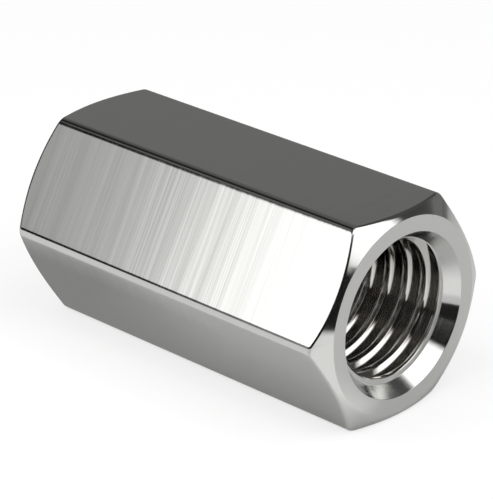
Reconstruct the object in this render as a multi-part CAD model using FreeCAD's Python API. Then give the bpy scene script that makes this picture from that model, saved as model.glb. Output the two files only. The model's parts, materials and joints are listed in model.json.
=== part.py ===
import FreeCAD, Part
import math
import os

# A coupling nut: one piece of bright hexagon bar, tapped from end to end.
# It is modelled upright, with its bore along Z and its middle at the origin, and then laid on one flat.
# As handed over, the bore runs along X, and the origin is on the resting flat, under the middle.

# Driving sizes, in millimetres and degrees
across_flats = 16.0           # hexagon, from flat to flat
length = 32.0                 # from end face to end face
long_edge_radius = 0.8        # rounding of the six long edges of the drawn bar
bearing_diameter = 15.1       # flat ring on each end face, outer diameter
chamfer_angle = 30.0          # end chamfer, measured from the end face
thread_diameter = 12.0        # major diameter, at the roots of the grooves
thread_depth = 0.9            # from the crests, which are the tapped hole, out to the roots
pitch = 1.75                  # from crest to crest, right-hand
flank_angle = 60.0            # between the two flanks of a groove
thread_start_angle = 35.0     # turns the thread about the bore
countersink_angle = 90.0      # countersink, included angle
countersink_overlap = 0.325   # how far its mouth reaches beyond the roots, on the radius

# Worked out from them
bore_diameter = thread_diameter - 2 * thread_depth
mouth_diameter = thread_diameter + 2 * countersink_overlap
root_flat = pitch / 8
groove_width = root_flat + 2 * thread_depth * math.tan(math.radians(flank_angle / 2))

# Helical strips to a turn: few enough to stay light, and each a simple four-sided face
spans_per_turn = 6

UP = FreeCAD.Vector(0, 0, 1)
MIDDLE = FreeCAD.Vector(0, 0, 0)


def rounded_hexagon_bar():
    """The drawn bar: a hexagonal prism with rounded long edges and a flat towards X."""
    corner_radius = across_flats / 2 / math.cos(math.radians(30))
    corners = []
    for k in range(7):
        turn = math.radians(60 * k + 30)
        corner = FreeCAD.Vector(math.cos(turn), math.sin(turn), 0) * corner_radius
        corners.append(corner - UP * (length / 2))
    bar = Part.Face(Part.makePolygon(corners)).extrude(UP * length)
    long_edges = []
    for edge in bar.Edges:
        start, finish = edge.Vertexes
        if abs(start.Z - finish.Z) > length / 2:
            long_edges.append(edge)
    return bar.makeFillet(long_edge_radius, long_edges)


def turned_envelope():
    """What the lathe leaves at the ends: a flat ring and, around it, the cone of the chamfer."""
    half = length / 2
    ring = bearing_diameter / 2
    outside = across_flats
    fall = (outside - ring) * math.tan(math.radians(chamfer_angle))
    upper = [(0, half), (ring, half), (outside, half - fall)]
    lower = [(outside, fall - half), (ring, -half), (0, -half)]
    points = [FreeCAD.Vector(radius, 0, height) for radius, height in upper + lower + upper[:1]]
    return Part.Face(Part.makePolygon(points)).revolve(MIDDLE, UP, 360)


def countersink(end):
    """The cone cut into the top end (end = 1) or the bottom end (end = -1), from a little outside it."""
    slope = math.tan(math.radians(countersink_angle / 2))
    outside = pitch
    widest = mouth_diameter / 2 + outside * slope
    start = UP * end * (length / 2 + outside)
    return Part.makeCone(widest, 0, widest / slope, start, UP * -end)


def turned_blank():
    """The bar with both ends turned and countersunk, before it is tapped."""
    bar = rounded_hexagon_bar().common(turned_envelope())
    return bar.cut([countersink(1), countersink(-1)])


def line_on(wall, angle, height, swing, climb):
    """A stretch of helix on a cylinder, or a straight line along it where swing is 0."""
    start = FreeCAD.Base.Vector2d(angle, height)
    finish = FreeCAD.Base.Vector2d(angle + swing, height + climb)
    return Part.Geom2d.Line2dSegment(start, finish).toShape(wall)


def land(wall, angle, low, high, swing, climb):
    """A helical strip of a cylinder, between two heights that climb together."""
    edges = [line_on(wall, angle, low, swing, climb),
             line_on(wall, angle + swing, low + climb, 0, high - low),
             line_on(wall, angle, high, swing, climb),
             line_on(wall, angle, low, 0, high - low)]
    return Part.Face(wall, Part.Wire(edges))


def flank(crest_wall, crest_height, root_wall, root_height, angle, swing, climb):
    """The ruled strip that slopes from a helix on the crest to one on the root.

    A row of poles weighs as one over its radius. The strip keeps its shape, and a straight line
    in its parameters is then nearly straight in space, as on a drawing in perspective.
    """
    crest_line = line_on(crest_wall, angle, crest_height, swing, climb)
    root_line = line_on(root_wall, angle, root_height, swing, climb)
    strip = Part.makeRuledSurface(crest_line, root_line).Surface
    crest_row = 1
    root_row = 2
    for pole in range(1, strip.NbUPoles + 1):
        strip.setWeight(pole, crest_row, 1)
        strip.setWeight(pole, root_row, crest_wall.Radius / root_wall.Radius)
    return strip.toShape()


def thread_surface():
    """The whole skin of the thread, running out past both end faces."""
    crest_wall = Part.Cylinder()
    crest_wall.Radius = bore_diameter / 2
    root_wall = Part.Cylinder()
    root_wall.Radius = thread_diameter / 2
    swing = 2 * math.pi / spans_per_turn
    climb = pitch / spans_per_turn
    turns_above = math.ceil(length / 2 / pitch) + 2
    faces = []
    for turn in range(-turns_above, turns_above):
        for span in range(spans_per_turn):
            angle = span * swing
            groove = turn * pitch + span * climb
            root_low = groove - root_flat / 2
            root_high = groove + root_flat / 2
            groove_low = groove - groove_width / 2
            groove_high = groove + groove_width / 2
            faces.append(flank(crest_wall, groove_low, root_wall, root_low, angle, swing, climb))
            faces.append(land(root_wall, angle, root_low, root_high, swing, climb))
            faces.append(flank(crest_wall, groove_high, root_wall, root_high, angle, swing, climb))
            faces.append(land(crest_wall, angle, groove_high, groove_low + pitch, swing, climb))
    skin = Part.makeCompound(faces)
    skin.sewShape()
    return skin.rotated(MIDDLE, UP, thread_start_angle)


def coupling_nut():
    """The turned blank, parted along the thread, without the plug that fills its bore."""
    pieces, _ = turned_blank().generalFuse([thread_surface()])
    outside = [piece for piece in pieces.Solids if not piece.isInside(MIDDLE, 0.001, True)]
    nut = outside[0]
    nut.rotate(MIDDLE, FreeCAD.Vector(0, 1, 0), 90)
    nut.translate(UP * (across_flats / 2))
    return nut


os.makedirs("parts", exist_ok=True)
coupling_nut().exportStep("parts/coupling_nut.step")
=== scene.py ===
import json
import math

import bmesh
import bpy
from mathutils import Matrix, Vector


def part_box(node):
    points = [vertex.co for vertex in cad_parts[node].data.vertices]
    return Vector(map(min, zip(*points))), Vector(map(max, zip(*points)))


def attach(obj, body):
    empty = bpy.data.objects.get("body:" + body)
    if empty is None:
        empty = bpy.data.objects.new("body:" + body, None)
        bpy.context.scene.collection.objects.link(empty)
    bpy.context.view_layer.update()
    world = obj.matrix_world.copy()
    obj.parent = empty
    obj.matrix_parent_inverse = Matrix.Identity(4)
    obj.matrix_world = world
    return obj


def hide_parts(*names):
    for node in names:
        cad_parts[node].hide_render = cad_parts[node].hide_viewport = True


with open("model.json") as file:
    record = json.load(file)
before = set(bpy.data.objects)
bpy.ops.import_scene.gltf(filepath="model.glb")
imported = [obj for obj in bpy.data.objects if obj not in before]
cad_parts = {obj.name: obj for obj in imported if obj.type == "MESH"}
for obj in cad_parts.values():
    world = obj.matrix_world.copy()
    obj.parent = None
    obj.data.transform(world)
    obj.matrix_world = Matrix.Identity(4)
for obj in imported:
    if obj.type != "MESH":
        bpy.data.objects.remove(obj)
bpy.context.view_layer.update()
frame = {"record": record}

scene = bpy.context.scene

# A coupling nut of bright steel, which lies on a flat with its bore along X.
# Its sizes are in millimetres, as on its drawing.
MM = 0.001
SIDE_TURN = math.radians(60)                       # from one flat of the hexagon to the next
low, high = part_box("coupling_nut")
mounts = {mount["name"]: mount for mount in frame["record"]["mounts"]}

half_length = (high.x - low.x) / 2 / MM
flat_distance = (high.z - low.z) / 2 / MM          # from the bore's axis to a flat
crest_radius = mounts["thread_front"]["dims"]["r_mm"]
long_edge_radius = 0.8
ring_radius = 7.55                                 # outer edge of the flat ring on an end face
chamfer_angle = math.radians(30)                   # from the end face
mouth_radius = 6.325                               # outer edge of the countersink
throat_radius = 5.57                               # where the countersink ends on a narrow shoulder
throat_depth = 1.11
root_radius = 6.0
pitch = 1.75
half_root_flat = pitch / 16                        # half of the flat at the bottom of a groove
flank_angle = math.radians(30)                     # one flank, from square to the axis
thread_start = math.radians(305)                   # where a groove passes the middle of the nut

# Edges that a cutting tool leaves slightly soft
mouth_edge_radius = 0.06
throat_edge_radius = 0.09
throat_corner_radius = 0.03                        # between the shoulder and the countersink
ring_edge_radius = 0.11
chamfer_edge_radius = 0.34
crest_edge_radius = 0.24
root_edge_radius = 0.06

# Shapes that are gone once the nut is tapped
pilot_radius = 4.8                                 # a smaller hole, which the tap then opens
pilot_taper = 1.0                                  # how far in from a shoulder it starts to widen
core_radius = 4.5                                  # the tap's own hollow core
tap_overhang = 0.5                                 # how far the tap stands out of each end

# Steps of the mesh
FLAT_STEPS = 16
LONG_EDGE_STEPS = 8
EDGE_STEPS = 5
THREAD_EDGE_STEPS = 4
FLANK_STEPS = 2
TURN_STEPS = 144
MERGE_DISTANCE = 0.001 * MM
HAIR = 1e-9                                        # for rounding errors, in millimetres
SHARP = math.radians(25)                           # an edge that turns by more is left unsmoothed

# Finishes, in the order of the mesh's material slots
FINISHES = range(4)
DRAWN, TURNED, SUNK, TAPPED = FINISHES

# Look of the steel
BRIGHT = (0.625, 0.625, 0.605)
CUT = (0.625, 0.612, 0.58)
TINT = 0.015                                       # how far the colour strays, as a share of itself
MARK_LENGTH = 30                                   # millimetres over which a tool mark changes along its run
TWO_NOISES = (0.7, 1.3)                            # where the sum of two noises mostly lies
QUARTER_TURN = 0.25                                # as a share of a full one
MIX_FACTOR, MIX_FIRST, MIX_SECOND = 0, 6, 7        # sockets of a node that mixes colours
MIX_RESULT = 2

# The studio, in metres and degrees. A radiance or shade of 1 is white.
WORLD_LIGHT = 0.35
FLOOR_REACH = 3.0
FLOOR_PALENESS = 0.68                              # for the light that it throws on the nut
FLOOR_PALENESS_IN_CAMERA = 0.3                     # together with the glow about white
FLOOR_GLOW_IN_CAMERA = 0.72
FLOOR_GLOW_IN_POLISH = 0.03                        # where the nut mirrors it
SOFTBOX_ELEVATION = 57
SOFTBOX_DISTANCE = 0.40
SOFTBOX_SIZE = 0.30
SOFTBOX_RADIANCE = 2.6
CARD_STEP = 5                                      # most degrees from point to point of a bent card
FLOOR_CARD_HEIGHT = 0.1                            # millimetres above the floor
middle = Vector((0, 0, flat_distance * MM))

# The camera stands where the photographer's did. Its aim and distance are in millimetres.
camera_azimuth = -46.04
camera_elevation = 24.12
camera_distance = 203.4
aim = Vector((0.106, 0.202, 8.158))
focal_pixels = 2704
image_height = 500                                 # in pixels, and the longer side
nearest_sight = 0.001                              # metres


def in_scene(name, data):
    """A new object with this mesh, lamp or camera."""
    made = bpy.data.objects.new(name, data)
    scene.collection.objects.link(made)
    return made


def mesh_from(bm, name):
    """The finished mesh, which ends the work on bm."""
    mesh = bpy.data.meshes.new(name)
    bm.to_mesh(mesh)
    bm.free()
    return mesh


def rounded(corners, steps):
    """A line through (corner, radius) pairs, where a corner with a radius becomes an arc of so many steps."""
    points = [Vector(corner) for corner, _ in corners]
    line = []
    for k, (_, radius) in enumerate(corners):
        here = points[k]
        if radius == 0:
            line.append(here)
            continue
        before = (points[k - 1] - here).normalized()
        after = (points[k + 1] - here).normalized()
        half_turn = (math.pi - before.angle(after)) / 2
        centre = here + (before + after).normalized() * radius / math.cos(half_turn)
        start = here + before * radius * math.tan(half_turn) - centre
        finish = here + after * radius * math.tan(half_turn) - centre
        line += [centre + start.slerp(finish, step / steps) * radius for step in range(steps + 1)]
    return line


def bar_columns():
    """The bar's section as (angle, radius) round the bore: six flats and six rounded edges."""
    edge_centre = (flat_distance - long_edge_radius) / math.cos(SIDE_TURN / 2)
    half_flat = edge_centre / 2
    columns = []
    for side in range(6):
        facing = SIDE_TURN * (side + 0.5)
        for step in range(FLAT_STEPS):
            aside = half_flat * (2 * step / FLAT_STEPS - 1)
            columns.append((facing + math.atan2(aside, flat_distance), math.hypot(aside, flat_distance)))
        corner = facing + SIDE_TURN / 2
        for step in range(LONG_EDGE_STEPS):
            turn = SIDE_TURN * (step / LONG_EDGE_STEPS - 0.5)
            outward = edge_centre + long_edge_radius * math.cos(turn)
            aside = long_edge_radius * math.sin(turn)
            columns.append((corner + math.atan2(aside, outward), math.hypot(aside, outward)))
    first_angle, first_radius = columns[0]
    return columns + [(first_angle + 2 * math.pi, first_radius)]


def blank_line(bar_radius):
    """The blank's section from its pilot hole out over the bar and back, as (x, radius).

    bar_radius is the bar's own radius at this angle round the bore.
    """
    chamfer_start = half_length - (bar_radius - ring_radius) * math.tan(chamfer_angle)
    throat = half_length - throat_depth
    front = [((throat - pilot_taper, pilot_radius), 0),
             ((throat - throat_edge_radius, crest_radius), 0),
             ((throat, crest_radius), throat_edge_radius),
             ((throat, throat_radius), throat_corner_radius),
             ((half_length, mouth_radius), mouth_edge_radius),
             ((half_length, ring_radius), ring_edge_radius),
             ((chamfer_start, bar_radius), chamfer_edge_radius)]
    back = [((-x, radius), softness) for (x, radius), softness in reversed(front)]
    return rounded(front + back, EDGE_STEPS)


def blank_finishes(line):
    """The finish of each row of the blank: a drawn bar with turned ends and a countersunk hole."""
    finishes = []
    for here, after in zip(line, line[1:] + line[:1]):
        is_in_mouth = (here.y + after.y) / 2 < mouth_radius - mouth_edge_radius
        finishes.append(SUNK if is_in_mouth else TURNED)
    between_the_chamfers = len(line) // 2 - 1
    finishes[between_the_chamfers] = DRAWN
    return finishes


def groove_section():
    """One groove between two half crests, as (x, radius)."""
    depth = root_radius - crest_radius
    half_groove = half_root_flat + depth * math.tan(flank_angle)
    centre = pitch / 2
    corners = [((0, crest_radius), 0),
               ((centre - half_groove, crest_radius), crest_edge_radius),
               ((centre - half_root_flat, root_radius), root_edge_radius),
               ((centre + half_root_flat, root_radius), root_edge_radius),
               ((centre + half_groove, crest_radius), crest_edge_radius),
               ((pitch, crest_radius), 0)]
    line = []
    for point in rounded(corners, THREAD_EDGE_STEPS):
        is_flank = line and abs(point.y - line[-1].y) > depth / 2
        if is_flank:
            start = line[-1]
            line += [start.lerp(point, step / FLANK_STEPS) for step in range(1, FLANK_STEPS)]
        line.append(point)
    return line[:-1]


def put_a_point_at(stop, line):
    """Where the line passes x = stop, its nearer point moves there."""
    for k in range(len(line) - 1):
        here = line[k].x - stop
        there = line[k + 1].x - stop
        if here * there < 0:
            share = here / (here - there)
            nearer = k if share < 0.5 else k + 1
            line[nearer] = line[k].lerp(line[k + 1], share)


def tap_line(angle, section):
    """The tap's threads at this angle round the bore, as (x, radius), a little longer than the nut.

    Towards a shoulder they get shallower, so that they run out through it and not into the countersink.
    """
    middle_groove = pitch * (angle - thread_start) / (2 * math.pi)
    first = middle_groove - pitch / 2
    turns = math.ceil(half_length / pitch) + 1
    line = []
    for turn in range(-turns, turns + 1):
        line += [point + Vector((first + turn * pitch, 0)) for point in section]
    end = half_length + tap_overhang
    put_a_point_at(-end, line)
    put_a_point_at(end, line)
    for point in line:
        if abs(point.x) > end + HAIR:
            point.x = math.copysign(end, point.x)
            point.y = crest_radius
        to_shoulder = half_length - throat_depth - abs(point.x)
        highest = throat_radius - throat_corner_radius + to_shoulder
        point.y = max(crest_radius, min(point.y, highest))
    return line


def skin_of(name, lines, finishes):
    """A closed skin, from a closed line of (x, radius) at each angle and the finish of each row."""
    bm = bmesh.new()
    columns = []
    for angle, line in lines:
        across = math.cos(angle)
        up = math.sin(angle)
        points = [Vector((x, radius * across, radius * up + flat_distance)) for x, radius in line]
        columns.append([bm.verts.new(point * MM) for point in points])
    for left, right in zip(columns, columns[1:]):
        for row, finish in enumerate(finishes):
            after = (row + 1) % len(finishes)
            face = bm.faces.new((left[row], left[after], right[after], right[row]))
            face.material_index = finish
    bmesh.ops.remove_doubles(bm, verts=bm.verts, dist=MERGE_DISTANCE)
    bmesh.ops.recalc_face_normals(bm, faces=bm.faces)
    return mesh_from(bm, name)


def blank_mesh():
    """The turned nut with its pilot hole, before it is tapped."""
    lines = [(angle, blank_line(bar_radius)) for angle, bar_radius in bar_columns()]
    _, first_line = lines[0]
    return skin_of("blank", lines, blank_finishes(first_line))


def tap_mesh():
    """The tap. What it takes out leaves the thread."""
    section = groove_section()
    lines = []
    for step in range(TURN_STEPS + 1):
        # Half a step on, which keeps its columns clear of the blank's
        angle = 2 * math.pi * (step + 0.5) / TURN_STEPS
        line = tap_line(angle, section)
        core = [Vector((line[-1].x, core_radius)), Vector((line[0].x, core_radius))]
        lines.append((angle, line + core))
    _, first_line = lines[0]
    return skin_of("tap", lines, [TAPPED] * len(first_line))


def tapped(blank, tap):
    """The blank's mesh as the tap leaves it, still in work."""
    # Faces keep their finish through the cut only where there is a slot for it
    for made in (blank, tap):
        for _ in FINISHES:
            made.data.materials.append(None)
    cut = blank.modifiers.new("tapped", "BOOLEAN")
    cut.operation = "DIFFERENCE"
    cut.solver = "EXACT"
    cut.object = tap
    result = blank.evaluated_get(bpy.context.evaluated_depsgraph_get())
    bm = bmesh.new()
    bm.from_mesh(result.data)
    return bm


def nut_mesh():
    """The nut's whole skin: the blank, cut by the tap."""
    blank = in_scene("blank", blank_mesh())
    tap = in_scene("tap", tap_mesh())
    bm = tapped(blank, tap)
    bpy.data.objects.remove(blank)
    bpy.data.objects.remove(tap)
    bmesh.ops.remove_doubles(bm, verts=bm.verts, dist=MERGE_DISTANCE)
    # At a point with only two edges, the faces on both sides could be split into the same thin triangle
    part_way_along_an_edge = [vert for vert in bm.verts if len(vert.link_edges) == 2]
    bmesh.ops.dissolve_verts(bm, verts=part_way_along_an_edge)
    for face in bm.faces:
        face.smooth = True
    for edge in bm.edges:
        edge.smooth = edge.calc_face_angle(0) < SHARP
    return mesh_from(bm, "coupling_nut_skin")


def node(tree, kind, inputs=(), **settings):
    """A new shader node with its settings, and its inputs set to values or linked to outputs."""
    made = tree.nodes.new(kind)
    for name, value in settings.items():
        setattr(made, name, value)
    for name, value in dict(inputs).items():
        if isinstance(value, bpy.types.NodeSocket):
            tree.links.new(value, made.inputs[name])
        else:
            made.inputs[name].default_value = value
    return made


def maths(tree, operation, first, second=0.0):
    """A sum or the like of two numbers or node outputs."""
    return node(tree, "ShaderNodeMath", {0: first, 1: second}, operation=operation).outputs[0]


def new_material(name):
    """A material and its node tree, which is still empty."""
    material = bpy.data.materials.new(name)
    material.use_nodes = True
    material.node_tree.nodes.clear()
    return material, material.node_tree


def surface(tree, shader):
    """Makes this shader the look of the material."""
    node(tree, "ShaderNodeOutputMaterial", {"Surface": shader})


def place_in_nut(tree):
    """The x, y and z of a point of the nut, from the nut's middle."""
    place = node(tree, "ShaderNodeTexCoord").outputs["Object"]
    x, y, z = node(tree, "ShaderNodeSeparateXYZ", {"Vector": place}).outputs
    return x, y, maths(tree, "SUBTRACT", z, flat_distance * MM)


def along_bar(tree, place):
    """Drawn marks run across the bar, so they differ along it."""
    x, _, _ = place
    return x


def out_from_axis(tree, place):
    """Turned marks circle the bore, so they differ with the distance from its axis."""
    _, y, z = place
    squares = maths(tree, "ADD", maths(tree, "POWER", y, 2.0), maths(tree, "POWER", z, 2.0))
    return maths(tree, "SQRT", squares)


def across_thread(tree, place):
    """A tap's marks climb with the thread, so one pitch up they are the same again."""
    x, y, z = place
    turn = maths(tree, "DIVIDE", maths(tree, "ARCTAN2", z, y), 2 * math.pi)
    phase = maths(tree, "SUBTRACT", maths(tree, "DIVIDE", x, pitch * MM), turn)
    return maths(tree, "MULTIPLY", maths(tree, "FRACT", phase), pitch * MM)


def noise(tree, across, place, width):
    """A noise that changes over this width across the marks, and slowly along them."""
    _, y, z = place
    vector = node(tree, "ShaderNodeCombineXYZ", {"X": maths(tree, "DIVIDE", across, width * MM),
                                                 "Y": maths(tree, "DIVIDE", y, MARK_LENGTH * MM),
                                                 "Z": maths(tree, "DIVIDE", z, MARK_LENGTH * MM)})
    made = node(tree, "ShaderNodeTexNoise", {"Vector": vector.outputs[0], "Scale": 1.0,
                                             "Detail": 1.5, "Roughness": 0.6})
    return made.outputs["Fac"]


def steel(name, colour, roughness, anisotropy, differing, bands, lines):
    """Steel with tool marks, which are a relief and slight changes of roughness and colour.

    roughness is (least, most), differing gives the direction across the marks, and bands and lines are
    the (width, height) of the soft and the fine ones, in millimetres.
    """
    material, tree = new_material(name)
    place = place_in_nut(tree)
    across = differing(tree, place)
    relief = 0.0
    both = 0.0
    for width, height in (bands, lines):
        marks = noise(tree, across, place, width)
        relief = maths(tree, "ADD", relief, maths(tree, "MULTIPLY", marks, height * MM))
        both = maths(tree, "ADD", both, marks)
    from_noises = {"Value": both, "From Min": TWO_NOISES[0], "From Max": TWO_NOISES[1]}
    rough = node(tree, "ShaderNodeMapRange", {**from_noises, "To Min": roughness[0], "To Max": roughness[1]})
    tint = node(tree, "ShaderNodeMapRange", from_noises)
    darker = tuple((1 - TINT) * part for part in colour) + (1,)
    lighter = tuple((1 + TINT) * part for part in colour) + (1,)
    tinted = node(tree, "ShaderNodeMix", {MIX_FACTOR: tint.outputs[0],
                                          MIX_FIRST: darker,
                                          MIX_SECOND: lighter}, data_type="RGBA")
    bump = node(tree, "ShaderNodeBump", {"Height": relief, "Strength": 1.0, "Distance": 1.0})
    tangent = node(tree, "ShaderNodeTangent", direction_type="RADIAL", axis="X")
    shader = node(tree, "ShaderNodeBsdfPrincipled", {"Base Color": tinted.outputs[MIX_RESULT],
                                                     "Metallic": 1.0,
                                                     "Roughness": rough.outputs[0],
                                                     "Anisotropic": anisotropy,
                                                     "Anisotropic Rotation": QUARTER_TURN,
                                                     "Normal": bump.outputs[0],
                                                     "Tangent": tangent.outputs[0]})
    surface(tree, shader.outputs[0])
    return material


def steels():
    """The nut's materials, in the order of its finishes."""
    drawn = steel("drawn_flats", BRIGHT, roughness=(0.09, 0.13), anisotropy=0.5,
                  differing=along_bar, bands=(1.5, 0.010), lines=(0.2, 0.0018))
    turned = steel("turned_ends", BRIGHT, roughness=(0.11, 0.14), anisotropy=0.9,
                   differing=out_from_axis, bands=(1.0, 0.0), lines=(0.2, 0.0003))
    sunk = steel("countersunk_ends", BRIGHT, roughness=(0.12, 0.15), anisotropy=1.0,
                 differing=out_from_axis, bands=(1.0, 0.0), lines=(0.2, 0.0003))
    threaded = steel("tapped_thread", CUT, roughness=(0.07, 0.10), anisotropy=0.8,
                     differing=across_thread, bands=(0.4, 0.001), lines=(0.11, 0.0010))
    return drawn, turned, sunk, threaded


def coupling_nut():
    """The visible nut, which stands for the CAD one."""
    nut = in_scene("bright_coupling_nut", nut_mesh())
    for material in steels():
        nut.data.materials.append(material)
    normals = nut.modifiers.new("flat_sides", "WEIGHTED_NORMAL")
    normals.mode = "FACE_AREA_WITH_ANGLE"
    normals.keep_sharp = True
    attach(nut, "root")
    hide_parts("coupling_nut")


def towards(azimuth, elevation):
    """A direction from the nut: azimuth 0 is along +X and 90 along +Y, in degrees."""
    a = math.radians(azimuth)
    e = math.radians(elevation)
    return Vector((math.cos(a) * math.cos(e), math.sin(a) * math.cos(e), math.sin(e)))


def seen(tree, in_camera, in_polish):
    """in_camera for rays that come from the camera, in_polish by way of metal or glass, otherwise 0."""
    path = node(tree, "ShaderNodeLightPath").outputs
    is_polish = maths(tree, "MAXIMUM", path["Is Glossy Ray"], path["Is Transmission Ray"])
    polish = maths(tree, "MULTIPLY", is_polish, in_polish)
    camera = maths(tree, "MULTIPLY", path["Is Camera Ray"], in_camera)
    return maths(tree, "MAXIMUM", camera, polish)


def emitter(tree, strength, shade=1.0):
    """A shader that glows evenly, in a grey of this shade."""
    grey = (shade, shade, shade, 1)
    return node(tree, "ShaderNodeEmission", {"Color": grey, "Strength": strength}).outputs[0]


def panel(name, vertices, faces, material):
    """A piece of the studio, which is no part of the nut."""
    mesh = bpy.data.meshes.new(name)
    mesh.from_pydata(vertices, [], faces)
    mesh.materials.append(material)
    made = in_scene(name, mesh)
    return made


def make_world():
    """White where the camera or polished metal sees it, and a soft light on everything else."""
    world = bpy.data.worlds.new("studio")
    world.use_nodes = True
    tree = world.node_tree
    tree.nodes.clear()
    strength = maths(tree, "MAXIMUM", seen(tree, 1.0, 1.0), WORLD_LIGHT)
    background = node(tree, "ShaderNodeBackground", {"Color": (1, 1, 1, 1), "Strength": strength})
    node(tree, "ShaderNodeOutputWorld", {"Surface": background.outputs[0]})
    scene.world = world


def make_floor():
    """A plain pale floor, which the camera sees as white with the nut's shadow on it."""
    material, tree = new_material("pale_floor")
    camera = node(tree, "ShaderNodeLightPath").outputs["Is Camera Ray"]
    paleness = node(tree, "ShaderNodeMapRange", {"Value": camera,
                                                 "To Min": FLOOR_PALENESS,
                                                 "To Max": FLOOR_PALENESS_IN_CAMERA})
    diffuse = node(tree, "ShaderNodeBsdfDiffuse", {"Color": paleness.outputs[0]})
    glow = emitter(tree, seen(tree, FLOOR_GLOW_IN_CAMERA, FLOOR_GLOW_IN_POLISH))
    both = node(tree, "ShaderNodeAddShader", {0: diffuse.outputs[0], 1: glow})
    surface(tree, both.outputs[0])
    corners = [(x * FLOOR_REACH, y * FLOOR_REACH, 0) for x, y in ((-1, -1), (1, -1), (1, 1), (-1, 1))]
    panel("floor", corners, [(0, 1, 2, 3)], material)


def softbox(name, azimuth):
    """A soft square lamp that faces the nut. Reflections show the cards in its place."""
    data = bpy.data.lights.new(name, "AREA")
    data.shape = "RECTANGLE"
    data.size = SOFTBOX_SIZE
    data.size_y = SOFTBOX_SIZE
    data.energy = SOFTBOX_RADIANCE * math.pi * SOFTBOX_SIZE * SOFTBOX_SIZE
    lamp = in_scene(name, data)
    back = towards(azimuth, SOFTBOX_ELEVATION)
    lamp.location = middle + back * SOFTBOX_DISTANCE
    lamp.rotation_mode = "QUATERNION"
    lamp.rotation_quaternion = back.to_track_quat("Z", "Y")
    lamp.visible_camera = False
    lamp.visible_glossy = False


def spread(first, last, feather, most):
    """Places from first to last as (place, cover). The cover fades out over the feather at both ends."""
    inner = last - first - 2 * feather
    steps = max(1, math.ceil(inner / most))
    row = [(first + feather + inner * step / steps, 1.0) for step in range(steps + 1)]
    if feather:
        row = [(first, 0.0)] + row + [(last, 0.0)]
    return row


def card_material(name, shade):
    """An even glow, as strong as the card's cover at each place."""
    material, tree = new_material(name)
    cover = node(tree, "ShaderNodeAttribute", attribute_name="cover").outputs["Fac"]
    clear = node(tree, "ShaderNodeBsdfTransparent").outputs[0]
    mix = node(tree, "ShaderNodeMixShader", {0: cover, 1: clear, 2: emitter(tree, 1.0, shade)})
    surface(tree, mix.outputs[0])
    return material


def make_card(name, columns, rows, place, shade):
    """A card over a grid of (place, cover) columns and rows, which only reflections show."""
    width = len(columns)
    vertices = [place(column, row) for row, _ in rows for column, _ in columns]
    faces = []
    for corner in range(len(vertices) - width):
        is_last_of_row = (corner + 1) % width == 0
        if not is_last_of_row:
            faces.append((corner, corner + 1, corner + width + 1, corner + width))
    made = panel(name, vertices, faces, card_material(name, shade))
    layer = made.data.attributes.new("cover", "FLOAT", "POINT")
    cover = [row_cover * column_cover for _, row_cover in rows for _, column_cover in columns]
    for k, value in enumerate(cover):
        layer.data[k].value = value
    made.visible_camera = False
    made.visible_diffuse = False
    made.visible_transmission = False
    made.visible_shadow = False


def card(name, azimuths, elevations, distance, shade, feather=(0, 0), lean=0):
    """A card bent round the nut, between two azimuths and two elevations.

    Its edges fade over the feather, and it leans sideways by so many degrees for each degree up.
    """
    def place(azimuth, elevation):
        aside = lean * (elevation - elevations[0])
        return middle + towards(azimuth + aside, elevation) * distance

    columns = spread(*azimuths, feather[0], CARD_STEP)
    rows = spread(*elevations, feather[1], CARD_STEP)
    make_card(name, columns, rows, place, shade)


def floor_card(name, along, across, shade, feather):
    """A card that lies on the floor, between two places in x and two in y, in millimetres."""
    def place(x, y):
        return x * MM, y * MM, FLOOR_CARD_HEIGHT * MM

    columns = spread(*along, feather[0], math.inf)
    rows = spread(*across, feather[1], math.inf)
    make_card(name, columns, rows, place, shade)


def dark_room():
    """What is mirrored where no other card hangs. Straight up it is lighter, for the views from above."""
    card("tent", (-180, 180), (-1, 90), 0.70, shade=0.014)
    card("zenith", (-180, 180), (72, 90), 0.66, shade=0.3, feather=(0, 4))


def back_cards():
    """Greys behind the nut, for its top flat. The chamfer over the bore mirrors the shade.

    The far one shows in views from behind.
    """
    card("far_back_card", (122, 168), (18, 74), 0.68, shade=0.13, feather=(8, 6))
    card("back_card", (32, 146), (-1, 28), 0.60, shade=0.2, feather=(4, 3))
    card("upper_back_card", (40, 132), (24, 66), 0.62, shade=0.085, feather=(6, 4))
    card("back_shade", (28, 72), (5, 34), 0.58, shade=0.07, feather=(5, 5))


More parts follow.
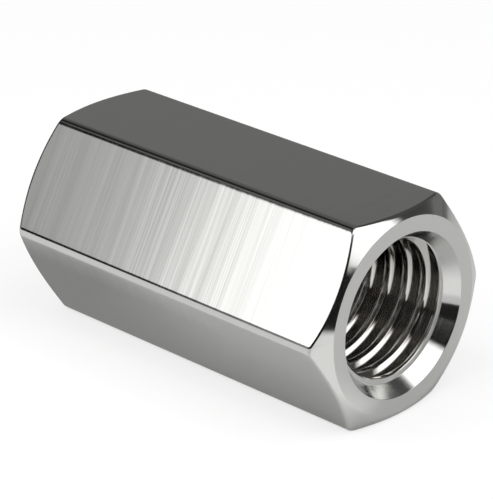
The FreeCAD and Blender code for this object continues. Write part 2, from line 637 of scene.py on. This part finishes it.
def streak_cards():
    """Two pale streaks in the long edge between the top flat and the front one."""
    card("streak_card", (-172, -142), (41, 55), 0.60, shade=0.16, feather=(4, 1.5))
    card("thin_streak_card", (154, 172), (38, 52), 0.60, shade=0.06, feather=(4, 2))


def white_cards():
    """The front flat mirrors the front ones, and the turned end and the bore the other two."""
    card("front_grey", (-146.5, -107), (15, 27), 0.45, shade=0.59, feather=(13, 2), lean=-0.56)
    card("front_white", (-133.0, -63), (15, 46), 0.40, shade=1.85, feather=(5, 1.5), lean=-0.3)
    card("front_gap", (-129.7, -119), (-1, 16), 0.40, shade=0.35, feather=(3, 2))
    card("right_white", (-8, 43), (13, 50), 0.40, shade=1.75, feather=(8, 2))
    card("top_white", (-51, 50), (40, 73), 0.42, shade=2.3, feather=(4, 3))


def far_end_card():
    """Close behind the far end, where its light draws the turns of the thread."""
    card("far_card", (166, 194), (-14, 14), 0.022, shade=0.8, feather=(3, 3))


def floor_cards():
    """The floor as the lower flats and the ends mirror it: pale in front, grey below, where the nut's shadow
    is painted on a card, and dark far off.
    """
    floor_card("floor_edge", (45, 600), (-600, 14), shade=0.014, feather=(5, 5))
    floor_card("left_floor_end", (-300, -36), (-14, 60), shade=0.014, feather=(6, 5))
    floor_card("front_right_floor", (16, 45), (-20, 2), shade=1.05, feather=(3, 6))
    floor_card("front_floor", (-150, 14), (-150, -9.5), shade=0.87, feather=(4, 3))
    # Painted shadow: a grey card where the nut shades the floor under its lower flat, seen only in the nut's
    # reflections
    floor_card("left_floor_shade", (-40, 2), (-9.5, -3), shade=0.32, feather=(15, 2))


def make_studio():
    """Floor, background, lamps and cards."""
    scene.view_settings.view_transform = "Standard"
    make_world()
    make_floor()
    softbox("front_softbox", -100)
    softbox("right_softbox", 5)
    dark_room()
    back_cards()
    streak_cards()
    white_cards()
    far_end_card()
    floor_cards()


def make_camera():
    """The camera that the scene looks through."""
    camera = in_scene("camera", bpy.data.cameras.new("camera"))
    back = towards(camera_azimuth, camera_elevation)
    camera.location = (aim + back * camera_distance) * MM
    camera.rotation_mode = "QUATERNION"
    camera.rotation_quaternion = back.to_track_quat("Z", "Y")
    camera.data.lens = focal_pixels * camera.data.sensor_width / image_height
    camera.data.clip_start = nearest_sight
    scene.camera = camera


coupling_nut()
make_studio()
make_camera()
